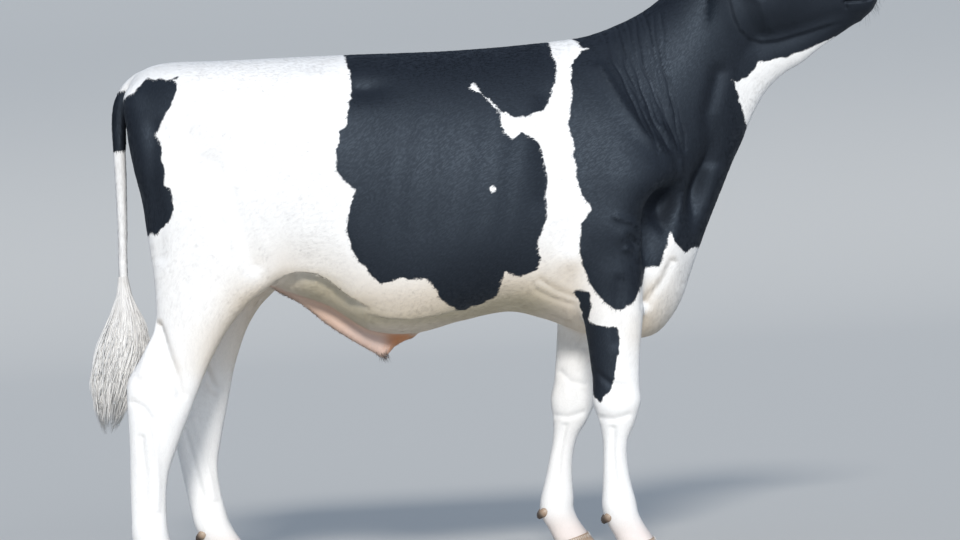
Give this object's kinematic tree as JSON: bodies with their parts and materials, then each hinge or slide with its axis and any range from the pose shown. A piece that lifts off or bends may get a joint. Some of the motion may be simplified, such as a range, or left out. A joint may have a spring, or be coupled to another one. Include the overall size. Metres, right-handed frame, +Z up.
{
  "type": "standing young dairy bull, life-size still model",
  "caption": "Life-size still model of a young black-and-white Holstein-Friesian bull standing square with its head raised, resting on its flat hoof soles.",
  "frame": {"origin": "on the floor, under the middle of the animal's length and width", "axes": "+X towards the head, +Y towards the animal's left side, +Z up"},
  "size_m": [2.2118, 0.5718, 1.7167],
  "materials": {
    "hide": "short white hair over hide",
    "dark_hide": "short glossy black hair over hide",
    "bare_skin": "thinly haired pink skin",
    "hoof_horn": "worn amber horn with growth rings",
    "eye": "wet, dark brown with a level pupil",
    "tail_hair": "long white hair"
  },
  "bodies": {
    "root": {"trunk": "hide", "neck": "dark_hide", "head": "dark_hide", "tail": "dark_hide", "tail_switch": "tail_hair", "sheath": "bare_skin", "scrotum": "bare_skin", "ear_left": "dark_hide", "eye_left": "eye", "foreleg_upper_left": "hide", "foreleg_lower_left": "hide", "foreclaw_outer_left": "hoof_horn", "fore_dewclaw_outer_left": "hoof_horn", "foreclaw_inner_left": "hoof_horn", "fore_dewclaw_inner_left": "hoof_horn", "hindleg_upper_left": "hide", "hindleg_lower_left": "hide", "hindclaw_outer_left": "hoof_horn", "hind_dewclaw_outer_left": "hoof_horn", "hindclaw_inner_left": "hoof_horn", "hind_dewclaw_inner_left": "hoof_horn", "ear_right": "dark_hide", "eye_right": "eye", "foreleg_upper_right": "hide", "foreleg_lower_right": "hide", "foreclaw_outer_right": "hoof_horn", "fore_dewclaw_outer_right": "hoof_horn", "foreclaw_inner_right": "hoof_horn", "fore_dewclaw_inner_right": "hoof_horn", "hindleg_upper_right": "hide", "hindleg_lower_right": "hide", "hindclaw_outer_right": "hoof_horn", "hind_dewclaw_outer_right": "hoof_horn", "hindclaw_inner_right": "hoof_horn", "hind_dewclaw_inner_right": "hoof_horn"}
  },
  "joints": []
}
